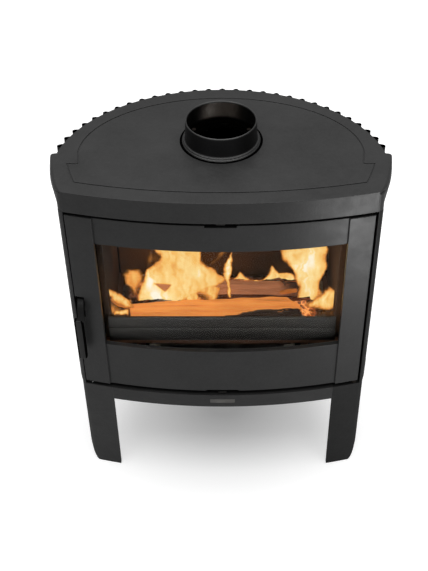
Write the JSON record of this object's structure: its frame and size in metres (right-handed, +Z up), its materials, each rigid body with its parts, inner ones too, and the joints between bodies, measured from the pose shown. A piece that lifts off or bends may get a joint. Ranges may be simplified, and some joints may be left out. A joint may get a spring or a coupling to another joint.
{
  "type": "cast iron wood stove",
  "caption": "Freestanding cast iron wood stove with a convex glazed door, D-shaped top plate, top flue collar, fluted back shell, log fire and side-hung door with a drop latch",
  "frame": {"origin": "on the floor, under the middle of the bounding box", "axes": "+Z up, -Y out of the glazed front, +X to the right as seen from the front"},
  "size_m": [0.698, 0.4295, 0.8655],
  "materials": {
    "iron": "matt stove paint over a fine cast grain",
    "shell_iron": "matt black paint over a rougher casting",
    "collar_iron": "darker satin black",
    "sooty_iron": "bare iron browned by heat and soot",
    "fire_lining": "bare cast lining plates stained by soot",
    "steel": "plain steel, slightly dulled",
    "blank_plate": "dull bare plate",
    "pan_steel": "pressed sheet with ash on it",
    "knob_steel": "blackened steel",
    "clip_steel": "pressed strip",
    "glass": "clear heat-proof ceramic glass",
    "tape": "woven glass-fibre tape",
    "rope": "graphite-grey braided glass-fibre rope",
    "lever_iron": "satin black",
    "grip": "smooth black enamel with a soft sheen",
    "fresh_wood": "split face lit by the fire",
    "charred_wood": "charred surface"
  },
  "bodies": {
    "stove": {"top_plate": "iron", "left_side": "iron", "right_side": "iron", "base_beam": "iron", "rear_leg_left": "iron", "rear_leg_right": "iron", "back_shell": "shell_iron", "bottom_plate": "shell_iron", "upper_rail": "shell_iron", "flue_collar": "collar_iron", "hearth_plate": "sooty_iron", "grate": "sooty_iron", "log_retainer": "sooty_iron", "baffle": "sooty_iron", "back_lining": "fire_lining", "side_lining_left": "fire_lining", "side_lining_right": "fire_lining", "collar_screws": "steel", "rear_leg_bolts": "steel", "tie_rods": "steel", "latch_keeper": "steel", "keeper_screws": "steel", "upper_hinge_pin": "steel", "lower_hinge_pin": "steel", "badge_plate": "blank_plate", "ash_pan": "pan_steel", "front_log": "fresh_wood", "back_log": "charred_wood"},
    "door": {"door_frame": "iron", "door_glass": "glass", "glass_tape": "tape", "glass_clips": "clip_steel", "clip_screws": "steel", "door_rope": "rope", "handle_pin": "steel"},
    "handle": {"handle_lever": "lever_iron", "handle_grip": "grip"},
    "lower_air": {"primary_slider": "knob_steel"},
    "upper_air": {"airwash_slider": "knob_steel"}
  },
  "joints": [
    {"name": "door_hinge", "type": "hinge", "parent": "stove", "child": "door", "pos_m": [0.2995, -0.16943, 0.52], "axis": [0, 0, 1], "range_deg": [0, 95]},
    {"name": "handle_pivot", "type": "hinge", "parent": "door", "child": "handle", "pos_m": [-0.299, -0.17072, 0.527], "axis": [-1, 0, 0], "range_deg": [-4, 36]},
    {"name": "lower_air_slide", "type": "slide", "parent": "stove", "child": "lower_air", "axis": [1, 0, 0], "range_m": [-0.02, 0.02]},
    {"name": "upper_air_slide", "type": "slide", "parent": "stove", "child": "upper_air", "axis": [1, 0, 0], "range_m": [-0.02, 0.02]}
  ]
}
